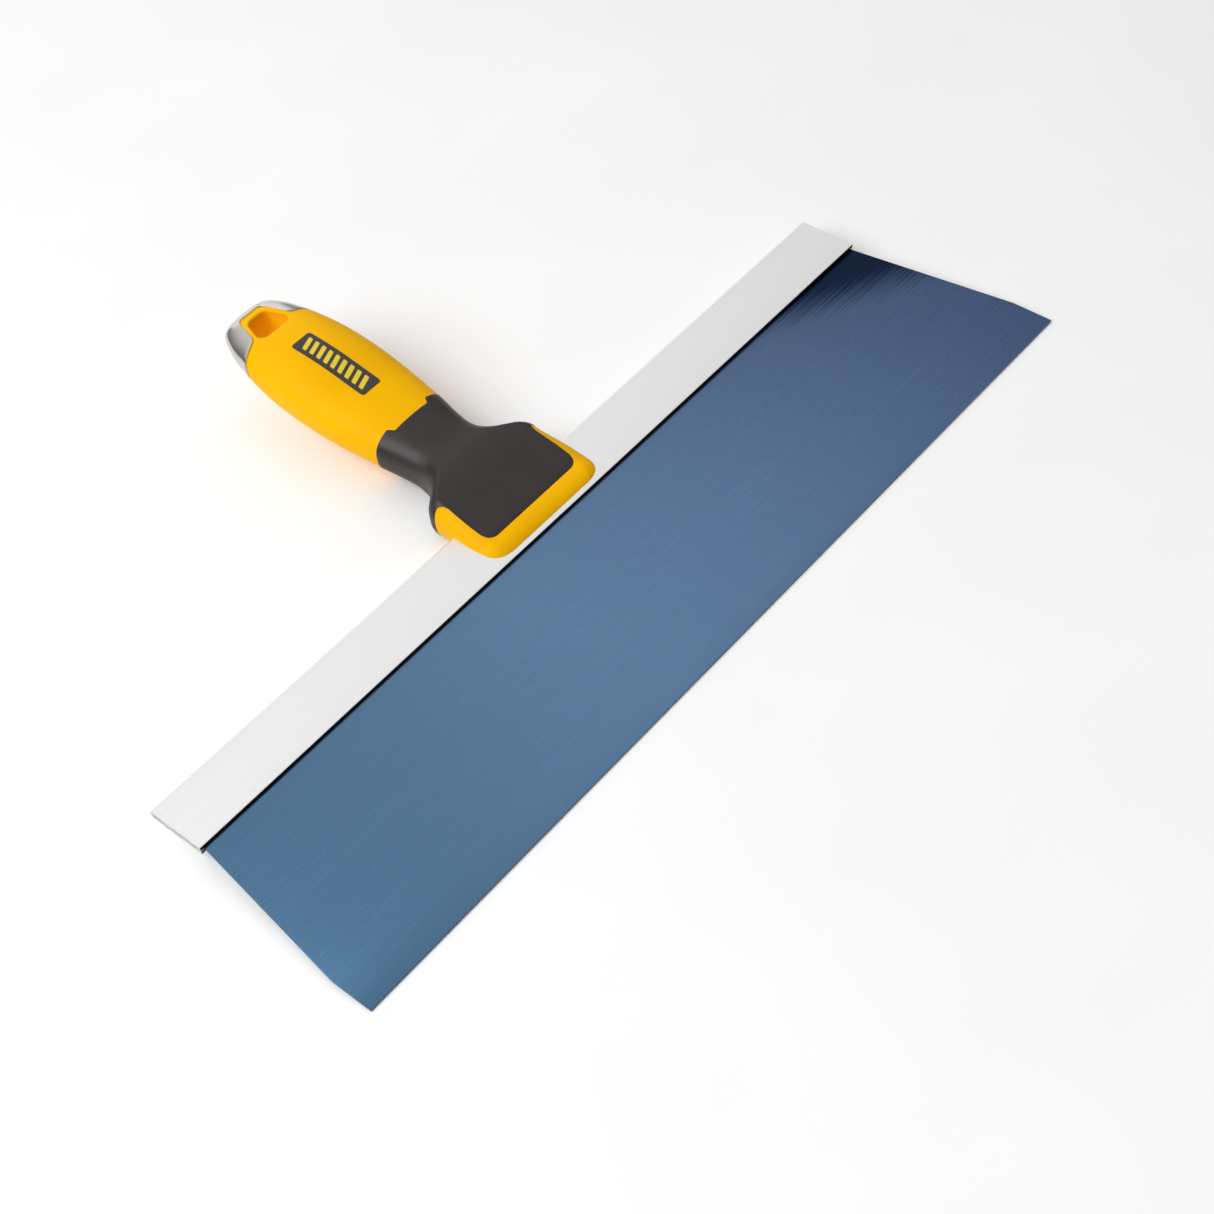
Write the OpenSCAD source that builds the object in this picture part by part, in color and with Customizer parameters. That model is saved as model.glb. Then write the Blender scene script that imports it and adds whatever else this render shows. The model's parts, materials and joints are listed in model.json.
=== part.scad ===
// Drywall taping knife: a flared blued steel blade in a folded aluminium back rail, with a moulded
// handle riveted on through a hidden tang. Millimetres.
//
// Knife coordinates: X runs along the rail, Y from the working edge (y = 0) towards the butt, and
// z = 0 is the middle of the blade. The handle's own station s is measured along Y from its nose.
// The finished knife lies on its back on the plane z = 0, as it rests on a bench: on the working
// edge and on the back of the head.

/* [Blade] */
// Length of the working edge
blade_l = 304.8; // [280:0.1:330]
// Depth of blade in front of the back rail
blade_exposed = 71.2; // [66:0.1:78]
// Length of the blade where it enters the back rail
blade_root_l = 288.6; // [270:0.1:289]
// Depth of the square corners at the working edge
corner_d = 14; // [8:0.5:20]
// Thickness of the spring steel
blade_t = 0.6; // [0.5:0.05:0.7]

/* [Back rail] */
// Length of the rail
rail_l = 291; // [290:0.5:300]
// Depth of the rail, from its front lips to its folded back
rail_w = 20.8; // [20:0.1:22]
// Thickness of the aluminium sheet
rail_t = 1.1; // [0.8:0.05:1.2]

/* [Handle] */
// Distance that the rail's front lips stand out in front of the handle's nose
nose_setback = 2.2; // [1:0.1:3]
// How far the nose's rounding bulges forward of that line, in mm
nose_reach = 1.2; // [0:0.1:2]
// Length of the handle, from its nose to its end
handle_l = 132.6; // [130:0.1:135]
// Width of the head, where it clasps the rail
head_w = 48.2; // [46:0.1:50]
// Width of the neck
neck_w = 25; // [23:0.1:27]
// Greatest width of the palm swell
palm_w = 34.8; // [32:0.1:37]
// Width of the butt, level with the hang hole
butt_w = 28; // [26:0.1:30]
// Slope of the thumb pad above the blade's plane, in degrees
pad_slope = 12.7; // [11:0.1:14]
// Slope of the back pad below the blade's plane, in degrees
back_slope = 5.1; // [4:0.1:6]

/* [Soft grip] */
// Thickness of the soft grip over the head
pad_t = 1.2; // [1:0.1:1.3]
// Thickness of the soft grip round the neck
sleeve_t = 2; // [1.5:0.1:2.4]

/* [End cap] */
// Wall thickness of the metal cap
cap_t = 1.4; // [1:0.1:1.6]

/* [Hang hole] */
// Length of the hole along the handle
hole_l = 10.6; // [9:0.1:11]
// Width of the hole on its butt side
hole_butt_w = 9; // [8:0.1:10]
// Width of the hole on its neck side
hole_neck_w = 12.4; // [11:0.1:13]
// Corner radius of the hole
hole_r = 2.8; // [2:0.1:3.2]

/* [Tang and rivets] */
// Thickness of the steel tang
tang_t = 1.5; // [1.2:0.1:1.6]
// Width of the tang's wing, along the rail
tang_wing_w = 40; // [38:1:42]
// Width of the tang's shank, inside the handle
tang_shank_w = 12; // [10:1:14]
// Angle at which the shank rises above the blade's plane
tang_rise = 6.5; // [6:0.1:7]
// Diameter of a rivet's shank
rivet_d = 4; // [3:0.1:4.5]
// Distance between neighbouring rivets
rivet_pitch = 10.5; // [10:0.1:11]

/* [Badge] */
// Width of the badge
badge_w = 8; // [7:0.5:9]
// Length of the badge
badge_l = 31; // [28:0.5:32]

/* [Hidden] */
RIVETS = 4;
eps = 0.01;

// Places along Y
lip_y = blade_exposed;
rail_back_y = lip_y + rail_w;
nose_y = lip_y + nose_setback;
rail_h = blade_t / 2 + rail_t;
blade_back_y = rail_back_y - rail_h;
rivet_y = nose_y + 13;

// The handle's stations, measured from its nose
pad_s = 6.3;
shoulder_s = 26;
ear_s = 56;
ear_reach = 2.2;
notch_s = handle_l - 19.2;
lip_s = handle_l - 5.6;
corner_r = 3.5;
hole_s = handle_l - 19.3;

// Heights of the pads at their front edge, and of the rounded nose
nose_r = 6;
nose_z = -0.3;
pad_z = 3.4;
back_z = -4.9;
function pad_top(s) = pad_z + tan(pad_slope) * (s - pad_s);
function pad_bottom(s) = back_z - tan(back_slope) * (s - pad_s);

// Outline of the handle: each track is a list of [station, value], joined by smooth curves
WIDTH = [[0, head_w / 2], [12, head_w / 2], [23, 0.955 * head_w / 2], [29, 0.92 * head_w / 2],
         [34, 0.67 * head_w / 2], [39, 1.06 * neck_w / 2], [45, neck_w / 2], [60, 1.2 * neck_w / 2],
         [75, 0.965 * palm_w / 2], [90, palm_w / 2], [105, 0.96 * palm_w / 2],
         [handle_l - 12.6, butt_w / 2], [handle_l - 5.6, 0.79 * butt_w / 2],
         [handle_l - 1.6, 0.59 * butt_w / 2], [handle_l, 0.45 * butt_w / 2]];
TOP = [[pad_s, pad_top(pad_s)], [15, pad_top(15)], [26, pad_top(26)], [33, 8.7], [40, 8.6],
       [46, 9.3], [60, 11.5], [75, 13.9], [90, 16.5], [105, 17.4], [handle_l - 12.6, 16.6],
       [handle_l - 5.6, 15.9], [handle_l - 3.6, 15.2], [handle_l - 1.6, 13.1], [handle_l, 10.8]];
BOTTOM = [[pad_s, pad_bottom(pad_s)], [15, pad_bottom(15)], [26, pad_bottom(26)], [33, -7.6],
          [40, -8.1], [46, -7.3], [60, -5.8], [75, -4.9], [90, -3.8], [105, -1.3],
          [handle_l - 12.6, 3.8], [handle_l - 5.6, 6], [handle_l - 1.6, 6.4], [handle_l, 6.8]];
// The cap's rim: a station for each angle off the top, with a notch round the hang hole
CAP_EDGE = [[0, lip_s], [13, lip_s + 0.1], [19, lip_s - 0.6], [21, lip_s - 3], [23, lip_s - 7.5],
            [25.5, lip_s - 9.8], [31, notch_s + 2.6], [48, notch_s + 1.5], [76, notch_s + 0.6],
            [90, notch_s]];
head_squareness = 3;
SQUARENESS = [[shoulder_s, head_squareness], [60, 2.6]];
// How far off the top the flat pads end, in degrees round the section
CREASE = [[pad_s, 47.5], [shoulder_s, 52], [46, 45]];
GRIP_T = [[shoulder_s, pad_t], [shoulder_s + 12, sleeve_t], [ear_s, 0.8 * sleeve_t]];

// Rings and columns of the handle's skin. A column edge falls on the pads' creases at 45 degrees.
COLUMNS = 48;
STEPS = [6, 5, 10, 10, 8];
ZONE_NOSE = 0;
ZONE_PAD = 1;
ZONE_NECK = 2;
ZONE_PALM = 3;
ZONE_BUTT = 4;

// A smooth curve through a track's points
function span_of(t, s, i = 0) = (i >= len(t) - 2 || s < t[i + 1][0]) ? i : span_of(t, s, i + 1);
function rise(t, i, j) = (t[j][1] - t[i][1]) / (t[j][0] - t[i][0]);
function slope_at(t, i) = rise(t, max(i - 1, 0), min(i + 1, len(t) - 1));
function track(t, s) =
    let (i = span_of(t, s), h = t[i + 1][0] - t[i][0], u = (s - t[i][0]) / h)
    (1 + 2 * u) * pow(1 - u, 2) * t[i][1] + u * pow(1 - u, 2) * h * slope_at(t, i)
    + u * u * (3 - 2 * u) * t[i + 1][1] - u * u * (1 - u) * h * slope_at(t, i + 1);

function mix(a, b, f) = a + (b - a) * f;
function signed_power(v, e) = sign(v) * pow(abs(v), e);
function quarter_round(s, r) = s < r ? sqrt(max(1 - pow((r - s) / r, 2), 0.006)) : 1;

// The column edge at 45 degrees is turned onto the pads' crease, and its neighbours with it
function creased(a, s) =
    let (base = a < 180 ? 90 : 270, off = abs(a - base), c = lookup(s, CREASE))
    base + sign(a - base) * (off < 45 ? off * c / 45 : 90 - (90 - off) * (90 - c) / 45);

// How much of the section's height is planed off for the flat pads: all that is inside the
// creases on the head, and nothing past the neck
function crest(s) =
    mix(pow(cos(lookup(s, CREASE)), 2 / head_squareness), 1, min(max((s - shoulder_s) / 20, 0), 1));

// Half width, top and bottom of the handle at a station
function half_w(s) = track(WIDTH, s) - nose_r * (1 - quarter_round(s, nose_r));
function top_z(s) = mix(nose_z, track(TOP, max(s, pad_s)), quarter_round(s, pad_s));
function bottom_z(s) = mix(nose_z, track(BOTTOM, max(s, pad_s)), quarter_round(s, pad_s));

// A point on the handle's skin at a station and an angle round it, set in from the surface
function skin(s, a, inset) =
    let (e = 2 / lookup(s, SQUARENESS),
         half_h = (top_z(s) - bottom_z(s)) / 2 - inset,
         turn = creased(a, s),
         across = signed_power(cos(turn), e),
         up = signed_power(sin(turn), e) / crest(s))
    [(half_w(s) - inset) * across,
     nose_y + s - nose_reach * max(0, 1 - s / pad_s),
     (top_z(s) + bottom_z(s)) / 2 + half_h * min(max(up, -1), 1)];

// The lines that divide the skin, as stations for an angle. off_top is the angle from straight up
// or straight down, so the lines are the same on the front and the back.
function off_top(a) = min(abs(90 - a), abs(270 - a));
function blend(a, b, f) = let (u = min(max(f, 0), 1)) mix(a, b, u * u * (3 - 2 * u));

// Corners of the pads are quarter rounds: how far a line dips at a gap from the corner's side
function pad_across(off) = head_w / 2 * pow(cos(creased(90 - off, pad_s)), 2 / head_squareness);
function corner_dip(gap) =
    gap >= corner_r ? 0
    : gap <= 0 ? corner_r
    : corner_r - sqrt(pow(corner_r, 2) - pow(corner_r - gap, 2));

function nose_line(a) = 0.05;
function pad_line(a) = pad_s + corner_dip(pad_across(45) - pad_across(off_top(a)));
function shoulder_line(a) =
    shoulder_s - (off_top(a) < 45 ? 0 : corner_dip(corner_r * (off_top(a) - 45) / 15));
function ear_line(a) = blend(ear_s, ear_s + ear_reach, (off_top(a) - 22) / 8);
function cap_line(a) = track(CAP_EDGE, off_top(a));
function end_line(a) = handle_l;
function line_at(k, a) =
    k == 0 ? nose_line(a)
    : k == 1 ? pad_line(a)
    : k == 2 ? shoulder_line(a)
    : k == 3 ? ear_line(a)
    : k == 4 ? cap_line(a)
    : end_line(a);

// One entry per ring: its zone, and how far through the zone it lies. Rings crowd towards the
// nose and the butt, where the skin turns fastest.
function crowd(zone, f) = zone == ZONE_NOSE ? 1 - cos(90 * f) : zone == ZONE_BUTT ? sin(90 * f) : f;
RINGS = concat([for (z = [0:len(STEPS) - 1], k = [0:STEPS[z] - 1]) [z, crowd(z, k / STEPS[z])]],
               [[ZONE_BUTT, 1]]);
LAST = len(RINGS) - 1;

function station(i, a) = mix(line_at(RINGS[i][0], a), line_at(RINGS[i][0] + 1, a), RINGS[i][1]);
function angle_of(j) = 360 * j / COLUMNS;

// Which piece covers a cell of the skin
function on_pad(j) = off_top(angle_of(j + 0.5)) < 45;
function is_grip(i, j) = RINGS[i][0] == ZONE_NECK || (RINGS[i][0] == ZONE_PAD && on_pad(j));
function is_cap(i, j) = RINGS[i][0] == ZONE_BUTT;
function in_mask(part, i, j) =
    i >= 0 && i < LAST && (part == "grip" ? is_grip(i, j)
                           : part == "cap" ? is_cap(i, j)
                           : is_grip(i, j) || is_cap(i, j));

// How deep the core is set in under each ring
function inset_at(i, s) = RINGS[i][0] == ZONE_BUTT ? cap_t : lookup(s, GRIP_T);

// How far a ring of the core is drawn back towards the neck, to leave room for the cap's end wall
function end_draw(i) = RINGS[i][0] == ZONE_BUTT ? cap_t * pow(RINGS[i][1], 3) : 0;

function outer_point(i, j) = let (a = angle_of(j)) skin(station(i, a), a, 0);
function inner_point(i, j) =
    let (a = angle_of(j), s = station(i, a), p = skin(s, a, inset_at(i, s)))
    [p[0], p[1] - end_draw(i), p[2]];
SKIN_POINTS = concat([for (i = [0:LAST], j = [0:COLUMNS - 1]) outer_point(i, j)],
                     [for (i = [0:LAST], j = [0:COLUMNS - 1]) inner_point(i, j)]);
function at(layer, i, j) = (layer * (LAST + 1) + i) * COLUMNS + (j + COLUMNS) % COLUMNS;

// Triangles of a cell on one layer, of a wall between the layers, and of a closed end
function two(a, b, c, d) = [[a, b, c], [a, c, d]];
function cell(layer, i, j) =
    two(at(layer, i, j), at(layer, i + 1, j), at(layer, i + 1, j + 1), at(layer, i, j + 1));
function wall(i, j, i2, j2) = two(at(0, i, j), at(0, i2, j2), at(1, i2, j2), at(1, i, j));
function turned(tris) = [for (t = tris) [t[2], t[1], t[0]]];
function end_fan(layer, i) = [[for (j = [0:COLUMNS - 1]) at(layer, i, j)]];
function flipped_fan(layer, i) = [[for (j = [COLUMNS - 1:-1:0]) at(layer, i, j)]];

// Walls round the edge of a masked patch, facing away from the patch
function patch_walls(part) =
    [for (i = [0:LAST - 1], j = [0:COLUMNS - 1]) if (in_mask(part, i, j))
        each concat(
            in_mask(part, i - 1, j) ? [] : wall(i, j + 1, i, j),
            in_mask(part, i + 1, j) || i + 1 == LAST ? [] : wall(i + 1, j, i + 1, j + 1),
            in_mask(part, i, (j + COLUMNS - 1) % COLUMNS) ? [] : wall(i, j, i + 1, j),
            in_mask(part, i, (j + 1) % COLUMNS) ? [] : wall(i + 1, j + 1, i, j + 1))];

// A shell that covers one mask of the skin, from its outer to its inner layer
function shell_faces(part) =
    concat([for (i = [0:LAST - 1], j = [0:COLUMNS - 1]) if (in_mask(part, i, j))
                each concat(turned(cell(0, i, j)), cell(1, i, j))],
           patch_walls(part));

// The solid inside the skin: full size in the open, set in under the grip and the cap
function core_faces() =
    concat([for (i = [0:LAST - 1], j = [0:COLUMNS - 1])
                each turned(cell(in_mask("covered", i, j) ? 1 : 0, i, j))],
           turned(patch_walls("covered")),
           flipped_fan(0, 0),
           end_fan(1, LAST));

// Lays the knife on its back: tilted until the back of the head meets the bench with the edge
SAMPLES = [for (k = [1:60]) k * handle_l / 60];
rest_tilt = max([for (s = SAMPLES) atan((-bottom_z(s) - blade_t / 2) / (nose_y + s))]);
butt_y = (nose_y + handle_l) * cos(rest_tilt) - (bottom_z(handle_l) + blade_t / 2) * sin(rest_tilt);
centre_y = (butt_y - blade_t * sin(rest_tilt)) / 2;
module at_rest() {
    translate([0, -centre_y, 0])
        rotate([rest_tilt, 0, 0])
            translate([0, 0, blade_t / 2])
                children();
}

// Turns an outline drawn in Y and Z into a bar along X
module bar_along_x(length) {
    rotate([90, 0, 90])
        linear_extrude(height = length, center = true)
            children();
}

module rounded_rectangle(w, l, r) {
    hull()
        for (x = [-1, 1], y = [-1, 1])
            translate([x * (w / 2 - r), y * (l / 2 - r)])
                circle(r = r, $fn = 32);
}

module at_rivet(k) {
    translate([(k - (RIVETS + 1) / 2) * rivet_pitch, rivet_y, 0])
        children();
}

module rivet_holes() {
    for (k = [1:RIVETS])
        at_rivet(k)
            cylinder(d = rivet_d, h = 4 * rail_h, center = true, $fn = 48);
}

// One flat sheet: square at the corners of the working edge, then drawn in to the rail
module blade() {
    color("#4f6f93")
        difference() {
            linear_extrude(height = blade_t, center = true)
                polygon([[-blade_l / 2, 0], [blade_l / 2, 0], [blade_l / 2, corner_d],
                         [blade_root_l / 2, lip_y], [blade_root_l / 2, blade_back_y],
                         [-blade_root_l / 2, blade_back_y], [-blade_root_l / 2, lip_y],
                         [-blade_l / 2, corner_d]]);
            rivet_holes();
        }
}

// A channel folded from one strip, closed at the back and open at its front lips
module channel_outline(h) {
    translate([lip_y, -h])
        square([rail_w - rail_h, 2 * h]);
    translate([blade_back_y, 0])
        circle(r = h, $fn = 48);
}

module back_rail() {
    color("#e6e8ea")
        difference() {
            bar_along_x(rail_l)
                difference() {
                    channel_outline(rail_h);
                    translate([lip_y - eps, -blade_t / 2])
                        square([blade_back_y - lip_y + eps, blade_t]);
                }
            rivet_holes();
        }
}

// The tang's strip from the side: flat under the rail, then bent up to follow the handle
tang_front_y = nose_y + 5;
bend_y = rail_back_y + 3;
shank_l = 82;
module tang_side() {
    translate([tang_front_y, -rail_h - tang_t])
        square([bend_y - tang_front_y, tang_t]);
    translate([bend_y, -rail_h - tang_t])
        rotate(tang_rise)
            square([shank_l, tang_t]);
}

// The tang from above: a wing along the rail, and a shank with a rounded tail
module tang_plan() {
    translate([-tang_wing_w / 2, tang_front_y])
        square([tang_wing_w, rail_back_y - tang_front_y]);
    translate([-tang_shank_w / 2, rail_back_y - eps])
        square([tang_shank_w, shank_l - tang_shank_w / 2]);
    translate([0, rail_back_y + shank_l - tang_shank_w / 2])
        circle(d = tang_shank_w, $fn = 48);
}

module tang_solid() {
    intersection() {
        bar_along_x(tang_wing_w)
            tang_side();
        translate([0, 0, -rail_h - tang_t - 1])
            linear_extrude(height = 20)
                tang_plan();
    }
}

module tang() {
    color("#9aa0a6")
        difference() {
            tang_solid();
            rivet_holes();
        }
}

// A rivet: a flat head on the rail's front, a shank, and a formed tail behind the tang
rivet_head_t = 1;
rivet_tail_t = 0.6;
module rivet_solid() {
    translate([0, 0, rail_h])
        cylinder(d = 1.75 * rivet_d, h = rivet_head_t, $fn = 48);
    translate([0, 0, -rail_h - tang_t])
        cylinder(d = rivet_d, h = 2 * rail_h + tang_t, $fn = 48);
    translate([0, 0, -rail_h - tang_t - rivet_tail_t])
        cylinder(d = 1.6 * rivet_d, h = rivet_tail_t, $fn = 48);
}

module rivet(k) {
    color("#b9bec4")
        at_rivet(k)
            rivet_solid();
}

// The hang hole: a rounded trapezoid, wider on its neck side, straight through the butt
module hang_hole() {
    translate([0, nose_y + hole_s, -5])
        linear_extrude(height = 30)
            hull() {
                for (x = [-1, 1]) {
                    translate([x * (hole_neck_w / 2 - hole_r), hole_r])
                        circle(r = hole_r, $fn = 32);
                    translate([x * (hole_butt_w / 2 - hole_r), hole_l - hole_r])
                        circle(r = hole_r, $fn = 32);
                }
            }
}

// The badge's strip from the side, following the top of the palm
badge_s = 72;
badge_t = 0.6;
badge_proud = 0.1;
BADGE_STEPS = 12;
function badge_edge(k, z) =
    let (s = badge_s + badge_l * k / BADGE_STEPS)
    [nose_y + s, top_z(s) + z];
module badge_solid() {
    intersection() {
        bar_along_x(badge_w)
            polygon(concat([for (k = [0:BADGE_STEPS]) badge_edge(k, badge_proud)],
                           [for (k = [BADGE_STEPS:-1:0]) badge_edge(k, badge_proud - badge_t)]));
        translate([0, nose_y + badge_s + badge_l / 2, 0])
            linear_extrude(height = 30)
                rounded_rectangle(badge_w, badge_l, 1.2);
    }
}

module badge() {
    color("#35312f")
        badge_solid();
}

// The rigid moulding: jaws that clasp the rail, and pockets for all that is set into it
module handle_core() {
    color("#f9b904")
        difference() {
            polyhedron(points = SKIN_POINTS, faces = core_faces(), convexity = 6);
            bar_along_x(head_w + 4)
                union() {
                    channel_outline(rail_h);
                    translate([lip_y - 1, -rail_h])
                        square([4, 2 * rail_h]);
                }
            tang_solid();
            for (k = [1:RIVETS])
                at_rivet(k)
                    rivet_solid();
            hang_hole();
            badge_solid();
        }
}

// A sleeve round the neck that runs on over the head as a thumb pad, front and back
module soft_grip() {
    color("#3c3836")
        polyhedron(points = SKIN_POINTS, faces = shell_faces("grip"), convexity = 6);
}

// A cap over the end and the sides of the butt, notched round the hang hole
module end_cap() {
    color("#b4b2b0")
        polyhedron(points = SKIN_POINTS,
                   faces = concat(shell_faces("cap"), end_fan(0, LAST), flipped_fan(1, LAST)),
                   convexity = 6);
}

at_rest() blade();
at_rest() back_rail();
at_rest() tang();
for (k = [1:RIVETS])
    at_rest() rivet(k);
at_rest() handle_core();
at_rest() soft_grip();
at_rest() end_cap();
at_rest() badge();
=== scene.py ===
"""Drywall taping knife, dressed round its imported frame.

A blued steel blade in a folded aluminium back rail, with a moulded two-colour handle, a metal butt
cap and a plain badge. It lies on its back on a pale bench.
"""

import json
import math

import bmesh
import bpy
from mathutils import Matrix, Vector


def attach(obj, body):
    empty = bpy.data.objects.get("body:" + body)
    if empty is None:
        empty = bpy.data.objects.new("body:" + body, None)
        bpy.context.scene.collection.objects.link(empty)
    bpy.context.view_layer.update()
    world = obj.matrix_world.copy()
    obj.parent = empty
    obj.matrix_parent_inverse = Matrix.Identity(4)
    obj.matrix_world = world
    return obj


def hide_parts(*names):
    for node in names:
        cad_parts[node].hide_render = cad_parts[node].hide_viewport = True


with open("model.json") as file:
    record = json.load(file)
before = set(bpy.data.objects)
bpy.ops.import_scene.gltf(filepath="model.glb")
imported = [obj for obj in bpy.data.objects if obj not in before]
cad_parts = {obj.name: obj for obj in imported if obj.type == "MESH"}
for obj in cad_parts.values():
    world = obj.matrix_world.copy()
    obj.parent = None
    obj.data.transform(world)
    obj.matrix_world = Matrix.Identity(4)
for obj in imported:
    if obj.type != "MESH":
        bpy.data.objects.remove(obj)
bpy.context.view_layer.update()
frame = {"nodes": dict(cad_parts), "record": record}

MM = 0.001
# In millimetres: places nearer than this count as one, and vertices nearer than this are merged
NEAR = 1e-3
MERGE = 1e-4

# ---------------------------------------------------------------------------------------------
# The knife's own axes: X along the rail, Y from the working edge to the butt, Z out of its face.
# The frame holds the knife at rest on its back, tilted about X. Its working edge gives the tilt.
# ---------------------------------------------------------------------------------------------

mounts = {m["name"]: m for m in frame["record"]["mounts"]}
edge_out = Vector(mounts["working_edge"]["axis"])
knife_x = Vector((1, 0, 0))
knife_y = -edge_out
knife_z = knife_x.cross(knife_y)
turn_to_rest = Matrix((knife_x, knife_y, knife_z)).transposed().to_4x4()
LAY = Matrix.Translation(mounts["working_edge"]["pos_m"]) @ turn_to_rest
TO_KNIFE = LAY.inverted()


def knife_box(node):
    """Lowest and highest corner of a CAD node along the knife's axes, in millimetres."""
    points = [TO_KNIFE @ v.co / MM for v in frame["nodes"][node].data.vertices]
    return (Vector(min(p[k] for p in points) for k in range(3)),
            Vector(max(p[k] for p in points) for k in range(3)))


_, blade_hi = knife_box("blade")
rail_lo, rail_hi = knife_box("back_rail")
_, cap_hi = knife_box("end_cap")
badge_lo, badge_hi = knife_box("badge")

# Sizes in millimetres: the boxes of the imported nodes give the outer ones
BLADE_L = 2 * blade_hi.x
BLADE_T = 2 * blade_hi.z
RAIL_L = 2 * rail_hi.x
RAIL_H = rail_hi.z
LIP_Y = rail_lo.y
RAIL_BACK_Y = rail_hi.y
NOSE_SETBACK = 2.2
NOSE_REACH = 1.2      # how far the nose's rounding bulges forward
NOSE_Y = LIP_Y + NOSE_SETBACK
HANDLE_L = cap_hi.y - NOSE_Y
HEAD_W = 48.2
NECK_W = 25.0
PALM_W = 34.8
BUTT_W = 28.0

# Stations along the handle, in millimetres from its nose
NOSE_S = 0.05
PAD_S = 6.3
SHOULDER_S = 26.0
EAR_S = 56.0
EAR_REACH = 2.2
NOTCH_S = HANDLE_L - 19.2
LIP_S = HANDLE_L - 5.6
CORNER_R = 3.5
HOLE_S = HANDLE_L - 19.3
HOLE_L = 10.6
HOLE_BUTT_W = 9.0
HOLE_NECK_W = 12.4
HOLE_R = 2.8

# The thumb pad and the back pad are flat, and slope away from the blade's plane
NOSE_R = 6.0
NOSE_Z = -0.3
PAD_Z = 3.4
BACK_Z = -4.9
PAD_SLOPE = math.tan(math.radians(12.7))
BACK_SLOPE = math.tan(math.radians(5.1))

# How thick the soft grip and the cap are, and how far each stands proud of the yellow core
PAD_T = 1.2
SLEEVE_T = 2.0
CAP_T = 1.4
GRIP_PROUD = 0.12
CAP_PROUD = 0.06
# How much their rims are rounded
GRIP_RIM = 0.35
CAP_RIM = 0.3


def pad_top(s):
    return PAD_Z + PAD_SLOPE * (s - PAD_S)


def pad_bottom(s):
    return BACK_Z - BACK_SLOPE * (s - PAD_S)


WIDTH = [(0, HEAD_W / 2), (12, HEAD_W / 2), (23, 0.955 * HEAD_W / 2), (29, 0.92 * HEAD_W / 2),
         (34, 0.67 * HEAD_W / 2), (39, 1.06 * NECK_W / 2), (45, NECK_W / 2), (60, 1.2 * NECK_W / 2),
         (75, 0.965 * PALM_W / 2), (90, PALM_W / 2), (105, 0.96 * PALM_W / 2),
         (HANDLE_L - 12.6, BUTT_W / 2), (HANDLE_L - 5.6, 0.79 * BUTT_W / 2),
         (HANDLE_L - 1.6, 0.59 * BUTT_W / 2), (HANDLE_L, 0.45 * BUTT_W / 2)]
TOP = [(PAD_S, pad_top(PAD_S)), (15, pad_top(15)), (26, pad_top(26)), (33, 8.7), (40, 8.6),
       (46, 9.3), (60, 11.5), (75, 13.9), (90, 16.5), (105, 17.4), (HANDLE_L - 12.6, 16.6),
       (HANDLE_L - 5.6, 15.9), (HANDLE_L - 3.6, 15.2), (HANDLE_L - 1.6, 13.1), (HANDLE_L, 10.8)]
BOTTOM = [(PAD_S, pad_bottom(PAD_S)), (15, pad_bottom(15)), (26, pad_bottom(26)), (33, -7.6),
          (40, -8.1), (46, -7.3), (60, -5.8), (75, -4.9), (90, -3.8), (105, -1.3),
          (HANDLE_L - 12.6, 3.8), (HANDLE_L - 5.6, 6.0), (HANDLE_L - 1.6, 6.4), (HANDLE_L, 6.8)]
# The power of the section's rounding: 2 is an ellipse, and more is squarer
HEAD_SQUARENESS = 3.0
SQUARENESS = [(SHOULDER_S, HEAD_SQUARENESS), (60, 2.6)]
# How far off the top the flat pads end, in degrees round the section, and where they have faded out
CREASE_END_S = 46.0
CREASE = [(PAD_S, 47.5), (SHOULDER_S, 52.0), (CREASE_END_S, 45.0)]
# The cap's rim: a station for each angle off the top, with a notch round the hang hole
CAP_EDGE = [(0, LIP_S), (13, LIP_S + 0.1), (19, LIP_S - 0.6), (21, LIP_S - 3), (23, LIP_S - 7.5),
            (25.5, LIP_S - 9.8), (31, NOTCH_S + 2.6), (48, NOTCH_S + 1.5), (76, NOTCH_S + 0.6),
            (90, NOTCH_S)]
# How thick the grip is: the pads are thin, and the sleeve is thickest at the neck
GRIP_T = [(SHOULDER_S, PAD_T), (SHOULDER_S + 12, SLEEVE_T), (EAR_S, 0.8 * SLEEVE_T)]

# The skin's columns of vertices: how many there are, and how many degrees of them each side of the
# top carry the flat pad
COLUMNS = 192
PAD_HALF = 45


def mix(a, b, f):
    return a + (b - a) * f


def ease(a, b, f):
    """From a to b, starting and ending gently."""
    f = min(max(f, 0.0), 1.0)
    return mix(a, b, f * f * (3 - 2 * f))


def straight(points, s):
    """Straight lines through a list of stations and values, flat beyond its ends."""
    if s <= points[0][0]:
        return points[0][1]
    for (s0, v0), (s1, v1) in zip(points, points[1:]):
        if s <= s1:
            return mix(v0, v1, (s - s0) / (s1 - s0))
    return points[-1][1]


def smooth(points, s):
    """A smooth curve through a list of stations and values."""
    last = len(points) - 1
    i = 0
    while i < last - 1 and s >= points[i + 1][0]:
        i += 1

    def slope(k):
        (s0, v0), (s1, v1) = points[max(k - 1, 0)], points[min(k + 1, last)]
        return (v1 - v0) / (s1 - s0)

    (s0, v0), (s1, v1) = points[i], points[i + 1]
    h = s1 - s0
    u = (s - s0) / h
    return ((1 + 2 * u) * (1 - u) ** 2 * v0 + u * (1 - u) ** 2 * h * slope(i)
            + u * u * (3 - 2 * u) * v1 - u * u * (1 - u) * h * slope(i + 1))


def quarter_round(s, r):
    """A quarter circle's height over its start, as a share of its radius, and never quite 0."""
    least = 0.006
    return math.sqrt(max(1 - ((r - s) / r) ** 2, least)) if s < r else 1.0


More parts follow.
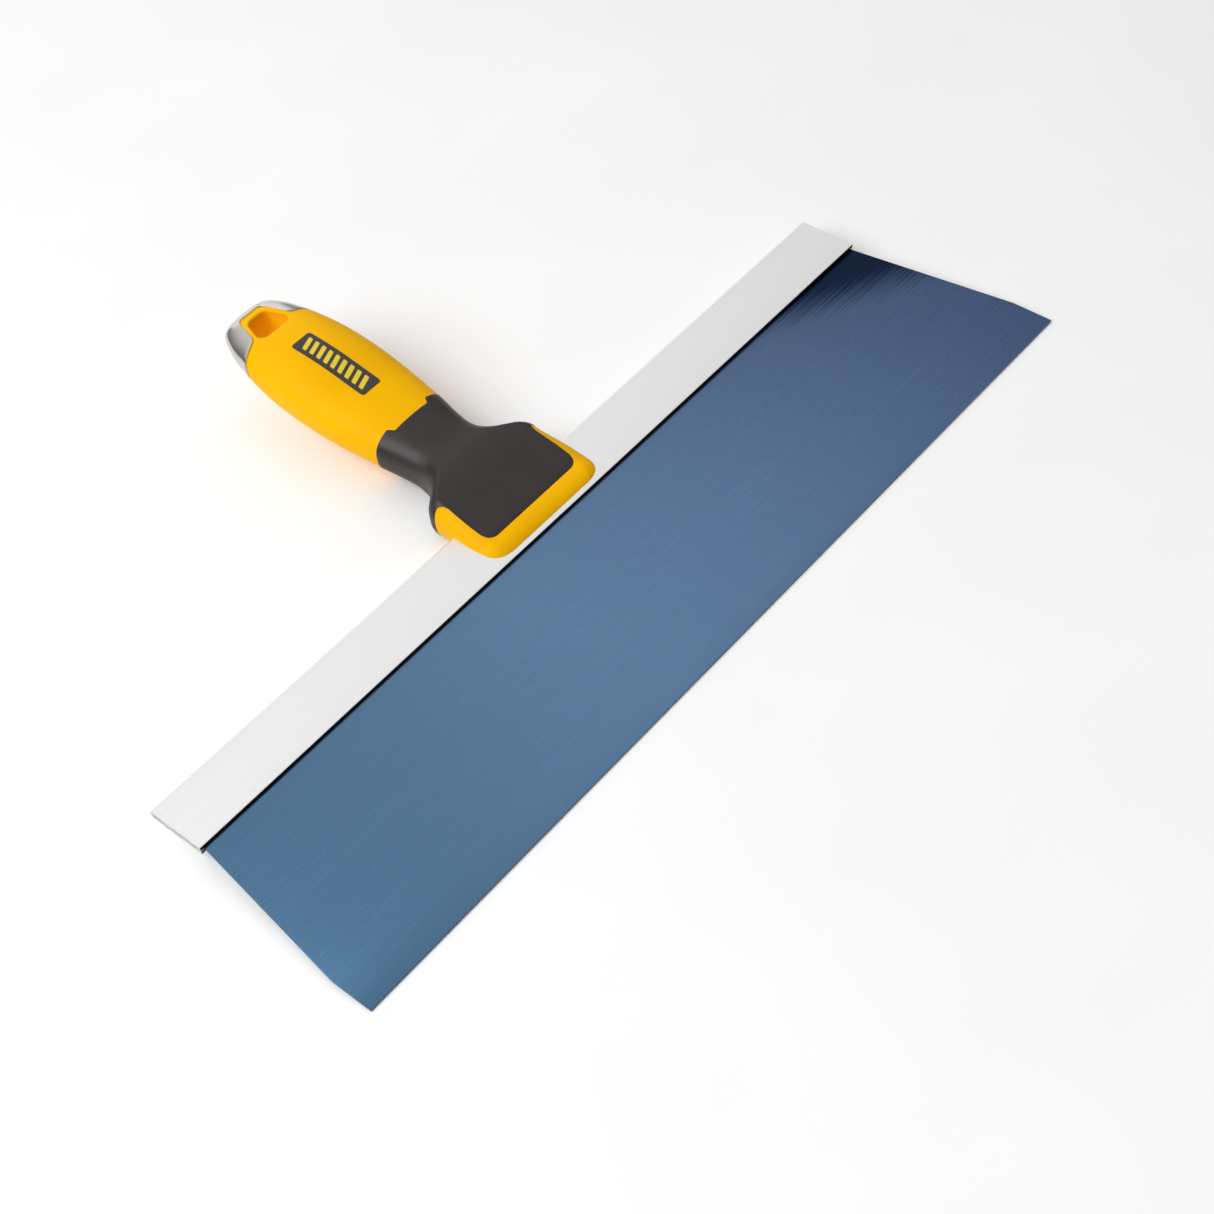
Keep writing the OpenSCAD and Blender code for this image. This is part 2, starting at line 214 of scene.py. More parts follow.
def creased(angle, s):
    """Turns the column at the pad's edge onto the pad's crease, and its neighbours with it."""
    base = 90 if angle < 180 else 270
    off, c = abs(angle - base), straight(CREASE, s)
    if off < PAD_HALF:
        turned = off * c / PAD_HALF
    else:
        turned = 90 - (90 - off) * (90 - c) / (90 - PAD_HALF)
    return base + math.copysign(turned, angle - base)


def crest(s):
    """How much of the section's height is planed off for the flat pads."""
    planed = math.cos(math.radians(straight(CREASE, s))) ** (2 / HEAD_SQUARENESS)
    fade = (s - SHOULDER_S) / (CREASE_END_S - SHOULDER_S)
    return mix(planed, 1.0, min(max(fade, 0.0), 1.0))


def half_width(s):
    return smooth(WIDTH, s) - NOSE_R * (1 - quarter_round(s, NOSE_R))


def top_z(s):
    return mix(NOSE_Z, smooth(TOP, max(s, PAD_S)), quarter_round(s, PAD_S))


def bottom_z(s):
    return mix(NOSE_Z, smooth(BOTTOM, max(s, PAD_S)), quarter_round(s, PAD_S))


def signed_power(v, e):
    return math.copysign(abs(v) ** e, v)


def skin(s, angle, inset):
    """A point on the handle at a station and an angle round it, in knife millimetres."""
    e = 2 / straight(SQUARENESS, s)
    top, bottom = top_z(s), bottom_z(s)
    turn = math.radians(creased(angle, s))
    across = signed_power(math.cos(turn), e)
    up = signed_power(math.sin(turn), e) / crest(s)
    return Vector(((half_width(s) - inset) * across,
                   NOSE_Y + s - NOSE_REACH * max(0.0, 1 - s / PAD_S),
                   (top + bottom) / 2 + ((top - bottom) / 2 - inset) * min(max(up, -1.0), 1.0)))


def face_z(x, y, side):
    """Height of the handle's front (side 1) or back (side -1) over a point."""
    s = min(y - NOSE_Y, HANDLE_L)
    n = straight(SQUARENESS, s)
    top, bottom = top_z(s), bottom_z(s)
    share = min(abs(x) / half_width(s), 1.0)
    up = (1 - share ** n) ** (1 / n) / crest(s)
    return (top + bottom) / 2 + side * (top - bottom) / 2 * min(up, 1.0)


def off_top(angle):
    """Degrees from straight up or straight down, whichever is nearer."""
    return min(abs(90 - angle), abs(270 - angle))


def pad_across(off):
    return HEAD_W / 2 * math.cos(math.radians(creased(90 - off, PAD_S))) ** (2 / HEAD_SQUARENESS)


def corner_dip(gap):
    """How far a line dips at a gap from the side of a rounded corner."""
    gap = min(max(gap, 0.0), CORNER_R)
    return CORNER_R - math.sqrt(CORNER_R ** 2 - (CORNER_R - gap) ** 2)


def line_nose(angle):
    return NOSE_S


def line_pad(angle):
    return PAD_S + corner_dip(pad_across(PAD_HALF) - pad_across(min(off_top(angle), PAD_HALF)))


def line_shoulder(angle):
    past_pad, corner_degrees = off_top(angle) - PAD_HALF, 15
    if past_pad < 0:
        return SHOULDER_S
    return SHOULDER_S - corner_dip(CORNER_R * past_pad / corner_degrees)


def line_ear(angle):
    ear_from, ear_run = 22, 8     # degrees off the top
    return ease(EAR_S, EAR_S + EAR_REACH, (off_top(angle) - ear_from) / ear_run)


def line_cap(angle):
    return smooth(CAP_EDGE, off_top(angle))


def line_end(angle):
    return HANDLE_L


# The lines that part the handle's zones: each gives a station for every angle round the handle
LINES = [line_nose, line_pad, line_shoulder, line_ear, line_cap, line_end]
ZONE_NOSE, ZONE_PAD, ZONE_NECK, ZONE_BUTT = 0, 1, 2, 4     # zone 3 is the bare palm
STEPS = [10, 8, 24, 30, 16]                                # rings in each zone


def crowd(zone, f):
    """Rings crowd towards the nose and the butt, where the skin turns fastest."""
    if zone == ZONE_NOSE:
        return 1 - math.cos(math.pi / 2 * f)
    if zone == ZONE_BUTT:
        return math.sin(math.pi / 2 * f)
    return f


RINGS = [(zone, crowd(zone, k / steps)) for zone, steps in enumerate(STEPS) for k in range(steps)]
RINGS.append((ZONE_BUTT, 1.0))


def on_grip(zone, angle):
    return zone == ZONE_NECK or (zone == ZONE_PAD and off_top(angle) < PAD_HALF)


def on_cap(zone, angle):
    return zone == ZONE_BUTT


# ---------------------------------------------------------------------------------------------
# Mesh helpers
# ---------------------------------------------------------------------------------------------


def new_object(name, bm):
    """An object that takes a bmesh's mesh, linked to the scene."""
    mesh = bpy.data.meshes.new(name)
    bm.to_mesh(mesh)
    bm.free()
    made = bpy.data.objects.new(name, mesh)
    bpy.context.scene.collection.objects.link(made)
    return made


def finish_piece(name, bm, material, replaced=(), sharp=35.0):
    """Turns a bmesh in knife millimetres into a piece that rides on the knife."""
    bmesh.ops.transform(bm, matrix=LAY @ Matrix.Scale(MM, 4), verts=bm.verts)
    piece = new_object(name, bm)
    for polygon in piece.data.polygons:
        polygon.use_smooth = True
    piece.data.set_sharp_from_angle(angle=math.radians(sharp))
    piece.data.materials.append(material)
    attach(piece, "root")
    if replaced:
        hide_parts(*replaced)
    return piece


def handle_sheet(proud=0.0):
    """The handle's skin as one open tube. Every vertex keeps its station and its angle."""
    bm = bmesh.new()
    bmesh.ops.create_grid(bm, x_segments=COLUMNS, y_segments=len(RINGS) - 1, size=0.5)
    station = bm.verts.layers.float.new("station")
    around = bm.verts.layers.float.new("around")
    zone_of = bm.faces.layers.int.new("zone")
    middle = bm.faces.layers.float.new("middle")
    for f in bm.faces:
        centre = f.calc_center_median()
        f[zone_of] = RINGS[int((centre.y + 0.5) * (len(RINGS) - 1))][0]
        f[middle] = 360.0 * (0.5 - centre.x)
    for v in bm.verts:
        column = round((v.co.x + 0.5) * COLUMNS)
        zone, f = RINGS[round((v.co.y + 0.5) * (len(RINGS) - 1))]
        angle = 360.0 * (COLUMNS - column) / COLUMNS
        v[around] = angle
        v[station] = mix(LINES[zone](angle), LINES[zone + 1](angle), f)
    for v in bm.verts:
        v.co = skin(v[station], v[around], -proud)
    bmesh.ops.remove_doubles(bm, verts=bm.verts, dist=MERGE)
    return bm, station, around


def faces_on(bm, mask):
    """The faces of the skin that one piece covers. Filled ends have more than four corners."""
    zone_of, middle = bm.faces.layers.int["zone"], bm.faces.layers.float["middle"]
    return [f for f in bm.faces if len(f.verts) == 4 and mask(f[zone_of], f[middle])]


def sink(verts, station, around, depth, end_wall=0.0):
    """Moves vertices to the skin's inner layer, and back from the butt by the cap's end wall.

    The end wall comes in over the last part of the cap, because its share is cubed."""
    for v in verts:
        s = v[station]
        start = LINES[ZONE_BUTT](v[around])
        share = max(0.0, (s - start) / (HANDLE_L - start))
        v.co = skin(s, v[around], depth(s)) - Vector((0, end_wall * share ** 3, 0))


def sleeve_depth(s):
    return straight(GRIP_T, s)


def cap_depth(s):
    return CAP_T


def close_ends(bm):
    """Fills every open ring of edges with one face."""
    bmesh.ops.holes_fill(bm, edges=[e for e in bm.edges if e.is_boundary], sides=0)


def face_outwards(bm):
    bmesh.ops.recalc_face_normals(bm, faces=bm.faces)


def only_verts(geom):
    """The vertices in what an operator returns."""
    return [g for g in geom if isinstance(g, bmesh.types.BMVert)]


def cut_away(piece, *cutters):
    """Takes each cutter's solid out of a piece, then removes the cutter."""
    for cutter in cutters:
        cut = piece.modifiers.new("cut", "BOOLEAN")
        cut.operation = "DIFFERENCE"
        cut.solver = "EXACT"
        cut.object = cutter
        bpy.context.view_layer.update()
        solved = piece.evaluated_get(bpy.context.evaluated_depsgraph_get())
        left_over = bpy.data.meshes.new_from_object(solved)
        piece.modifiers.remove(cut)
        piece.data = left_over
        bpy.data.objects.remove(cutter)


def ease_edges(bm, edges, size, steps=3):
    """Rounds edges off, by a size in millimetres."""
    bmesh.ops.bevel(bm, geom=edges, offset=size, offset_type="OFFSET", segments=steps, profile=0.5,
                    affect="EDGES", clamp_overlap=True, material=-1)


def box_block(lo, hi):
    """A plain block between two corners."""
    bm = bmesh.new()
    bmesh.ops.create_cube(bm, size=1.0)
    lo, hi = Vector(lo), Vector(hi)
    bmesh.ops.scale(bm, vec=hi - lo, verts=bm.verts)
    bmesh.ops.translate(bm, vec=(lo + hi) / 2, verts=bm.verts)
    return bm


# ---------------------------------------------------------------------------------------------
# Materials
# ---------------------------------------------------------------------------------------------


def from_hex(code):
    """An sRGB hex colour as linear red, green, blue and alpha."""
    def linear(c):
        return c / 12.92 if c <= 0.04045 else ((c + 0.055) / 1.055) ** 2.4
    return tuple(linear(int(code[k:k + 2], 16) / 255) for k in (0, 2, 4)) + (1.0,)


def per_metre(mm):
    """The pattern scale whose features are this many millimetres apart."""
    return 1 / (mm * MM)


def plug(tree, socket, value):
    """Gives a socket a value, or links another node's output to it."""
    if isinstance(value, bpy.types.NodeSocket):
        tree.links.new(value, socket)
    else:
        socket.default_value = value


def add(tree, kind, settings=None, **sockets):
    """Adds a node. A socket takes a value or another node's output. Its name has spaces written
    as _, or is i and its number."""
    node = tree.nodes.new(kind)
    for name, value in (settings or {}).items():
        setattr(node, name, value)
    for name, value in sockets.items():
        numbered = name[0] == "i" and name[1:].isdigit()
        socket = node.inputs[int(name[1:]) if numbered else name.replace("_", " ")]
        plug(tree, socket, value)
    return node


def ramp(tree, source, stops):
    """A colour ramp over (place, colour) stops."""
    node = add(tree, "ShaderNodeValToRGB", Fac=source)
    elements = node.color_ramp.elements
    while len(elements) < len(stops):
        elements.new(0.5)
    for element, (place, colour) in zip(elements, stops):
        element.position = place
        element.color = colour
    return node.outputs["Color"]


def grey(v):
    """A linear grey."""
    return (v, v, v, 1.0)


def blank(name):
    """A material with one surface shader, and the place on the piece in metres."""
    material = bpy.data.materials.new(name)
    material.use_nodes = True
    tree = material.node_tree
    shader = tree.nodes["Principled BSDF"]
    place = add(tree, "ShaderNodeTexCoord").outputs["Object"]
    return material, tree, shader, place


def set_shader(tree, shader, **sockets):
    """Sets the surface shader's sockets to values or to other nodes' outputs."""
    for name, value in sockets.items():
        plug(tree, shader.inputs[name.replace("_", " ")], value)


# The darkest blue, bluing with a painted dark reflection over it: the way it deepens across the
# blade, where it starts and is full, and how far the grinding marks shift it, in millimetres
DARK_BLUING_AND_REFLECTION_AXIS = Vector((0.475, 0.88, 0))
DARK_BLUING_AND_REFLECTION_SPAN = (Vector((140, 42, 0)), Vector((140, 60, 0)))
DARK_BLUING_AND_REFLECTION_BREAK = 18.0


def blued_spring_steel():
    """Heat-blued, ground spring steel: a blue oxide that deepens towards one end of the rail,
    partly as a painted dark reflection, and shifts in tone along the blade, partly as a painted
    reflection, over fine straight grinding marks that run along the blade and stretch every
    highlight."""
    material, tree, shader, place = blank("blued_spring_steel")
    grain_mm, grain_run_mm = 0.5, 45.0   # real marks are 0.05 mm; drawn coarse so that they show
    marks = add(tree, "ShaderNodeMapping", Vector=place,
                Scale=(per_metre(grain_run_mm), per_metre(grain_mm), per_metre(grain_mm)))
    grain = add(tree, "ShaderNodeTexNoise", Vector=marks.outputs[0], Scale=1.0, Detail=3.0)
    cloud = add(tree, "ShaderNodeTexNoise", Vector=place, Scale=per_metre(60.0), Detail=2.0)
    split = add(tree, "ShaderNodeSeparateXYZ", Vector=place)
    # Place along the blade, for the oxide's tone and its painted reflection: 0 at the blade's left
    # end,
    # 1 at its right end
    along = add(tree, "ShaderNodeMapRange", Value=split.outputs["X"],
                From_Min=-0.5 * BLADE_L * MM, From_Max=0.5 * BLADE_L * MM)
    wander = add(tree, "ShaderNodeMath", {"operation": "MULTIPLY_ADD"},
                 i0=cloud.outputs["Fac"], i1=0.10, i2=along.outputs[0])
    # The blue along the blade is partly the oxide's own tone and partly a painted reflection:
    # darker at the left end, lighter towards the middle and the right
    blue = ramp(tree, wander.outputs[0], [
        (0.05, from_hex("4a6c89")), (0.45, from_hex("5e7e9e")), (0.72, from_hex("5e789c")),
        (0.88, from_hex("5c759b")), (1.0, from_hex("577099"))])
    # The darkest blue, bluing and a painted dark reflection, lies in a patch across the right end's
    # corner, and breaks up along the marks
    cornerward = add(tree, "ShaderNodeVectorMath", {"operation": "DOT_PRODUCT"},
                     i0=place, i1=DARK_BLUING_AND_REFLECTION_AXIS)
    broken = add(tree, "ShaderNodeMath", {"operation": "MULTIPLY_ADD"},
                 i0=grain.outputs["Fac"], i1=DARK_BLUING_AND_REFLECTION_BREAK * MM, i2=cornerward.outputs["Value"])
    faint, full = (DARK_BLUING_AND_REFLECTION_AXIS.dot(LAY @ (p * MM)) + DARK_BLUING_AND_REFLECTION_BREAK / 2 * MM for p in DARK_BLUING_AND_REFLECTION_SPAN)
    dark_bluing_and_reflection = add(tree, "ShaderNodeMapRange", {"interpolation_type": "SMOOTHSTEP"},
                Value=broken.outputs[0], From_Min=faint, From_Max=full)
    # Mixes the painted dark reflection and the deepest bluing into the blade's blue
    navy_bluing_and_reflection = add(tree, "ShaderNodeMix", {"data_type": "RGBA"}, i0=dark_bluing_and_reflection.outputs[0],
               i6=blue, i7=from_hex("002247"))
    streak = add(tree, "ShaderNodeMix", {"data_type": "RGBA", "blend_type": "MULTIPLY"}, i0=0.15,
                 i6=navy_bluing_and_reflection.outputs[2],
                 i7=ramp(tree, grain.outputs["Fac"], [(0.3, grey(0.78)), (0.7, grey(1.0))]))
    rough = add(tree, "ShaderNodeMapRange", Value=grain.outputs["Fac"], To_Min=0.23, To_Max=0.31)
    bump = add(tree, "ShaderNodeBump", Strength=0.07, Distance=0.02 * MM,
               Height=grain.outputs["Fac"])
    set_shader(tree, shader, Base_Color=streak.outputs[2], Metallic=1.0,
               Roughness=rough.outputs[0], Normal=bump.outputs[0])
    return material


def satin_aluminium():
    """Rolled aluminium sheet with a satin face: nearly white, with faint rolling lines along it."""
    material, tree, shader, place = blank("satin_aluminium")
    line_mm, line_run_mm = 0.6, 60.0     # real lines are 0.1 mm; drawn coarse so that they show
    lines = add(tree, "ShaderNodeMapping", Vector=place,
                Scale=(per_metre(line_run_mm), per_metre(line_mm), per_metre(line_mm)))
    rolled = add(tree, "ShaderNodeTexNoise", Vector=lines.outputs[0], Scale=1.0, Detail=2.0)
    tone = ramp(tree, rolled.outputs["Fac"], [(0.3, from_hex("eeeeef")), (0.7, from_hex("f1f1f1"))])
    rough = add(tree, "ShaderNodeMapRange", Value=rolled.outputs["Fac"], To_Min=0.42, To_Max=0.45)
    bump = add(tree, "ShaderNodeBump", Strength=0.01, Distance=0.02 * MM,
               Height=rolled.outputs["Fac"])
    set_shader(tree, shader, Base_Color=tone, Metallic=0.9, Roughness=rough.outputs[0],
               Normal=bump.outputs[0])
    return material


def sheared_aluminium(name, dark, light):
    """The rail's cut edges: sheared and left bare, so they are rough and duller than its faces.

    The near-black tones given for the front lips are a painted shadow and a painted dark
    reflection.
    """
    material, tree, shader, place = blank(name)
    tears = add(tree, "ShaderNodeMapping", Vector=place,
                Scale=(per_metre(0.5), per_metre(3.0), per_metre(1.5)))
    torn = add(tree, "ShaderNodeTexNoise", Vector=tears.outputs[0], Scale=1.0, Detail=3.0)
    tone = ramp(tree, torn.outputs["Fac"], [(0.35, from_hex(dark)), (0.7, from_hex(light))])
    set_shader(tree, shader, Base_Color=tone, Metallic=0.9, Roughness=0.6)
    return material


def yellow_polypropylene():
    """Moulded polypropylene: an even warm yellow, with a fine spark-eroded texture that keeps it
    satin in the light."""
    material, tree, shader, place = blank("yellow_polypropylene")
    grit_mm = 0.45     # real spark erosion is 0.1 mm; drawn coarse so that it shows
    eroded = add(tree, "ShaderNodeTexNoise", Vector=place, Scale=per_metre(grit_mm), Detail=4.0)
    drift = add(tree, "ShaderNodeTexNoise", Vector=place, Scale=per_metre(25.0), Detail=1.0)
    tone = ramp(tree, drift.outputs["Fac"], [(0.3, from_hex("f8b700")), (0.7, from_hex("ffbe00"))])
    rough = add(tree, "ShaderNodeMapRange", Value=eroded.outputs["Fac"], To_Min=0.38, To_Max=0.52)
    bump = add(tree, "ShaderNodeBump", Strength=0.10, Distance=0.05 * MM,
               Height=eroded.outputs["Fac"])
    set_shader(tree, shader, Base_Color=tone, Roughness=rough.outputs[0], Normal=bump.outputs[0],
               IOR=1.49, Specular_IOR_Level=0.05)
    return material


def black_elastomer():
    """Soft-touch thermoplastic elastomer, moulded over the core: a warm black, with a fine pebble
    that spreads its shine."""
    material, tree, shader, place = blank("black_elastomer")
    pebble_mm = 0.5     # the real pebble is 0.2 mm; drawn coarse so that it shows
    pebble = add(tree, "ShaderNodeTexVoronoi", Vector=place, Scale=per_metre(pebble_mm))
    haze = add(tree, "ShaderNodeTexNoise", Vector=place, Scale=per_metre(9.0), Detail=3.0)
    tone = ramp(tree, haze.outputs["Fac"], [(0.3, from_hex("1f1917")), (0.7, from_hex("28211e"))])
    rough = add(tree, "ShaderNodeMapRange", Value=haze.outputs["Fac"], To_Min=0.40, To_Max=0.52)
    bump = add(tree, "ShaderNodeBump", Strength=0.15, Distance=0.04 * MM,
               Height=pebble.outputs["Distance"])
    set_shader(tree, shader, Base_Color=tone, Roughness=rough.outputs[0], Normal=bump.outputs[0],
               IOR=1.48, Specular_IOR_Level=0.52)
    return material


def satin_zinc():
    """Die-cast zinc, nickel plated and tumbled to a satin: a warm grey, with soft reflections."""
    material, tree, shader, place = blank("satin_zinc")
    bloom = add(tree, "ShaderNodeTexNoise", Vector=place, Scale=per_metre(6.0), Detail=2.0)
    tone = ramp(tree, bloom.outputs["Fac"], [(0.3, from_hex("c9c4bf")), (0.7, from_hex("d2cdc8"))])
    rough = add(tree, "ShaderNodeMapRange", Value=bloom.outputs["Fac"], To_Min=0.18, To_Max=0.24)
    set_shader(tree, shader, Base_Color=tone, Metallic=1.0, Roughness=rough.outputs[0])
    return material


def badge_vinyl():
    """A pad-printed vinyl badge: smooth, dark warm grey, a little glossier than the grip."""
    material, tree, shader, place = blank("badge_vinyl")
    print_grain = add(tree, "ShaderNodeTexNoise", Vector=place, Scale=per_metre(0.8), Detail=2.0)
    tone = ramp(tree, print_grain.outputs["Fac"],
                [(0.3, from_hex("2c2927")), (0.7, from_hex("34302d"))])
    set_shader(tree, shader, Base_Color=tone, Roughness=0.42, IOR=1.5)
    return material


def badge_ink():
    """Yellow ink on the badge, a little duller than the moulding."""
    material, tree, shader, place = blank("badge_ink")
    mottle = add(tree, "ShaderNodeTexNoise", Vector=place, Scale=per_metre(1.2), Detail=2.0)
    tone = ramp(tree, mottle.outputs["Fac"], [(0.3, from_hex("e8c816")), (0.7, from_hex("f0d01e"))])
    set_shader(tree, shader, Base_Color=tone, Roughness=0.45, IOR=1.5)
    return material


def zinc_plated_steel(name, light):
    """Plain zinc plated steel for the pieces inside the head: mid grey and slightly mottled."""
    material, tree, shader, place = blank(name)
    spangle = add(tree, "ShaderNodeTexVoronoi", Vector=place, Scale=per_metre(2.0))
    tone = ramp(tree, spangle.outputs["Distance"],
                [(0.0, from_hex("84898e")), (0.8, from_hex(light))])
    set_shader(tree, shader, Base_Color=tone, Metallic=1.0, Roughness=0.4)
    return material


STEEL_BLUED = blued_spring_steel()
ALUMINIUM = satin_aluminium()
# The front lips' cut faces are near black: a painted shadow and a painted dark reflection along the
# line where the lip meets the blade
LIP_PAINTED_SHADOW = sheared_aluminium("lip_painted_shadow_aluminium", "101317", "2a2e33")
ALUMINIUM_END = sheared_aluminium("bright_sheared_aluminium", "c4c6c8", "e2e3e4")
YELLOW = yellow_polypropylene()
BLACK = black_elastomer()
ZINC = satin_zinc()
VINYL = badge_vinyl()
INK = badge_ink()

# ---------------------------------------------------------------------------------------------
# Blade and back rail
# ---------------------------------------------------------------------------------------------

CORNER_D = 14.0           # the straight part of the blade's ends, back from the working edge
BLADE_ROOT_L = 288.6      # the blade's length at the rail
BLADE_BACK_Y = blade_hi.y
BLADE_EASE = 0.06         # how far each piece's edges are eased
LIP_EASE = 0.22


def make_blade():
    """One flat sheet: square at the corners of the working edge, then drawn in to the rail."""
    bm = bmesh.new()
    half, root = BLADE_L / 2, BLADE_ROOT_L / 2
    outline = [(-half, 0), (half, 0), (half, CORNER_D), (root, LIP_Y), (root, BLADE_BACK_Y),
               (-root, BLADE_BACK_Y), (-root, LIP_Y), (-half, CORNER_D)]
    sheet = bm.faces.new([bm.verts.new((x, y, -BLADE_T / 2)) for x, y in outline])
    raised = bmesh.ops.extrude_face_region(bm, geom=[sheet], use_keep_orig=True)["geom"]
    bmesh.ops.translate(bm, vec=(0, 0, BLADE_T), verts=only_verts(raised))
    face_outwards(bm)
    rims = [e for e in bm.edges if abs(e.verts[0].co.z - e.verts[1].co.z) < NEAR]
    ease_edges(bm, rims, BLADE_EASE, 2)
    finish_piece("ground_blade", bm, STEEL_BLUED, ["blade"])


def make_rail():
    """The channel: a strip folded round the blade's back, drawn as its end outline run along X."""
    bm = bmesh.new()
    fold_steps = 14
    gap = BLADE_T / 2
    fold_y = RAIL_BACK_Y - RAIL_H
    outline = [(LIP_Y, RAIL_H)]
    for k in range(fold_steps + 1):
        a = math.pi / 2 - math.pi * k / fold_steps
        outline.append((fold_y + RAIL_H * math.cos(a), RAIL_H * math.sin(a)))
    outline += [(LIP_Y, -RAIL_H), (LIP_Y, -gap), (fold_y, -gap), (fold_y, gap), (LIP_Y, gap)]
    end = bm.faces.new([bm.verts.new((-RAIL_L / 2, y, z)) for y, z in outline])
    run = bmesh.ops.extrude_face_region(bm, geom=[end], use_keep_orig=True)["geom"]
    bmesh.ops.translate(bm, vec=(RAIL_L, 0, 0), verts=only_verts(run))
    face_outwards(bm)
    lips = [e for e in bm.edges
            if all(abs(v.co.y - LIP_Y) < NEAR and abs(abs(v.co.z) - RAIL_H) < NEAR
                   for v in e.verts)]
    ease_edges(bm, lips, LIP_EASE, 3)
    rail = finish_piece("folded_rail", bm, ALUMINIUM, ["back_rail"])
    rail.data.materials.append(LIP_PAINTED_SHADOW)
    rail.data.materials.append(ALUMINIUM_END)
    straight_at, at_lip = 0.9, 0.05
    for polygon in rail.data.polygons:
        facing = TO_KNIFE.to_3x3() @ polygon.normal
        off_lip = abs((TO_KNIFE @ polygon.center).y / MM - LIP_Y)
        # The front lips' cut faces take the painted shadow, and the rail's ends the bright sheared
        # finish
        if facing.y < -straight_at and off_lip < at_lip:
            polygon.material_index = 1
        elif abs(facing.x) > straight_at:
            polygon.material_index = 2


make_blade()
make_rail()

# ---------------------------------------------------------------------------------------------
# Handle
# ---------------------------------------------------------------------------------------------


def hole_outline(outset, steps=9):
    """Points round the hang hole: a rounded trapezoid, wider on its neck side.

    An outset moves them outwards by as many millimetres."""
    y0 = NOSE_Y + HOLE_S
    neck_x, neck_y = HOLE_NECK_W / 2 - HOLE_R, y0 + HOLE_R
    butt_x, butt_y = HOLE_BUTT_W / 2 - HOLE_R, y0 + HOLE_L - HOLE_R
    corners = [(neck_x, neck_y), (butt_x, butt_y), (-butt_x, butt_y), (-neck_x, neck_y)]
    # The sides lean in towards the butt, so the corners aren't quite quarter turns
    lean = math.degrees(math.atan((HOLE_NECK_W - HOLE_BUTT_W) / 2 / (HOLE_L - 2 * HOLE_R)))
    arcs = [(-90, lean), (lean, 90), (90, 180 - lean), (180 - lean, 270)]
    points = []
    r = HOLE_R + outset
    for (cx, cy), (a0, a1) in zip(corners, arcs):
        for k in range(steps):
            a = math.radians(mix(a0, a1, k / (steps - 1)))
            points.append((cx + r * math.cos(a), cy + r * math.sin(a)))
    return points


def hole_cutter(flare=0.8, arc_steps=8, last_turn=78.0, clear=3.0):
    """The hang hole's inside, flared at both mouths so that its rims come out rounded."""
    ring_count = len(hole_outline(0))
    mouth = []
    for k in range(arc_steps + 1):
        turn = math.radians(last_turn * k / arc_steps)
        mouth.append((flare * (1 - math.cos(turn)), flare * (math.sin(turn) - 1)))
    # A mouth runs on past the skin, first along its last turn and then straight
    out, up = mouth[-1]
    past = 0.35 * flare
    mouth.append((out + past * math.sin(turn), up + past * math.cos(turn)))
    mouth.append((mouth[-1][0], clear))
    rings = [(-1, out, up) for out, up in reversed(mouth)] + [(1, out, up) for out, up in mouth]
    bm = bmesh.new()
    bmesh.ops.create_grid(bm, x_segments=ring_count, y_segments=len(rings) - 1, size=0.5)
    for v in bm.verts:
        k = round((v.co.x + 0.5) * ring_count) % ring_count
        side, outset, height = rings[round((v.co.y + 0.5) * (len(rings) - 1))]
        x, y = hole_outline(outset)[k]
        v.co = (x, y, face_z(x, y, side) + side * height)
    bmesh.ops.remove_doubles(bm, verts=bm.verts, dist=MERGE)
    close_ends(bm)
    face_outwards(bm)
    return new_object("hole_cutter", bm)


def channel_cutter():
    """The room for the rail through the head, with its rounded back."""
    past_head, past_nose, round_share = 3, 2, 0.98
    reach = HEAD_W / 2 + past_head
    bm = box_block((-reach, LIP_Y - past_nose, -RAIL_H), (reach, RAIL_BACK_Y, RAIL_H))
    back = [e for e in bm.edges if all(abs(v.co.y - RAIL_BACK_Y) < NEAR for v in e.verts)
            and abs(e.verts[0].co.x - e.verts[1].co.x) > NEAR]
    ease_edges(bm, back, round_share * RAIL_H, 6)
    face_outwards(bm)
    return new_object("channel_cutter", bm)


def make_core():
    """The yellow moulding: full size in the open, and set in under the soft grip and the cap."""
    bm, station, around = handle_sheet()
    close_ends(bm)
    face_outwards(bm)
    for mask, depth, end_wall in ((on_grip, sleeve_depth, 0.0), (on_cap, cap_depth, CAP_T)):
        region = faces_on(bm, mask)
        if mask is on_cap:
            # The cap covers the filled end at the butt too
            region += [f for f in bm.faces
                       if len(f.verts) > 4 and f.calc_center_median().y > NOSE_Y + EAR_S]
        sunk = bmesh.ops.extrude_face_region(bm, geom=region)["geom"]
        sink(only_verts(sunk), station, around, depth, end_wall)
    face_outwards(bm)
    core = new_object("moulded_core_blank", bm)
    cut_away(core, channel_cutter(), hole_cutter())
    bm = bmesh.new()
    bm.from_mesh(core.data)
    bpy.data.objects.remove(core)
    finish_piece("moulded_core", bm, YELLOW, ["handle_core"], sharp=40)


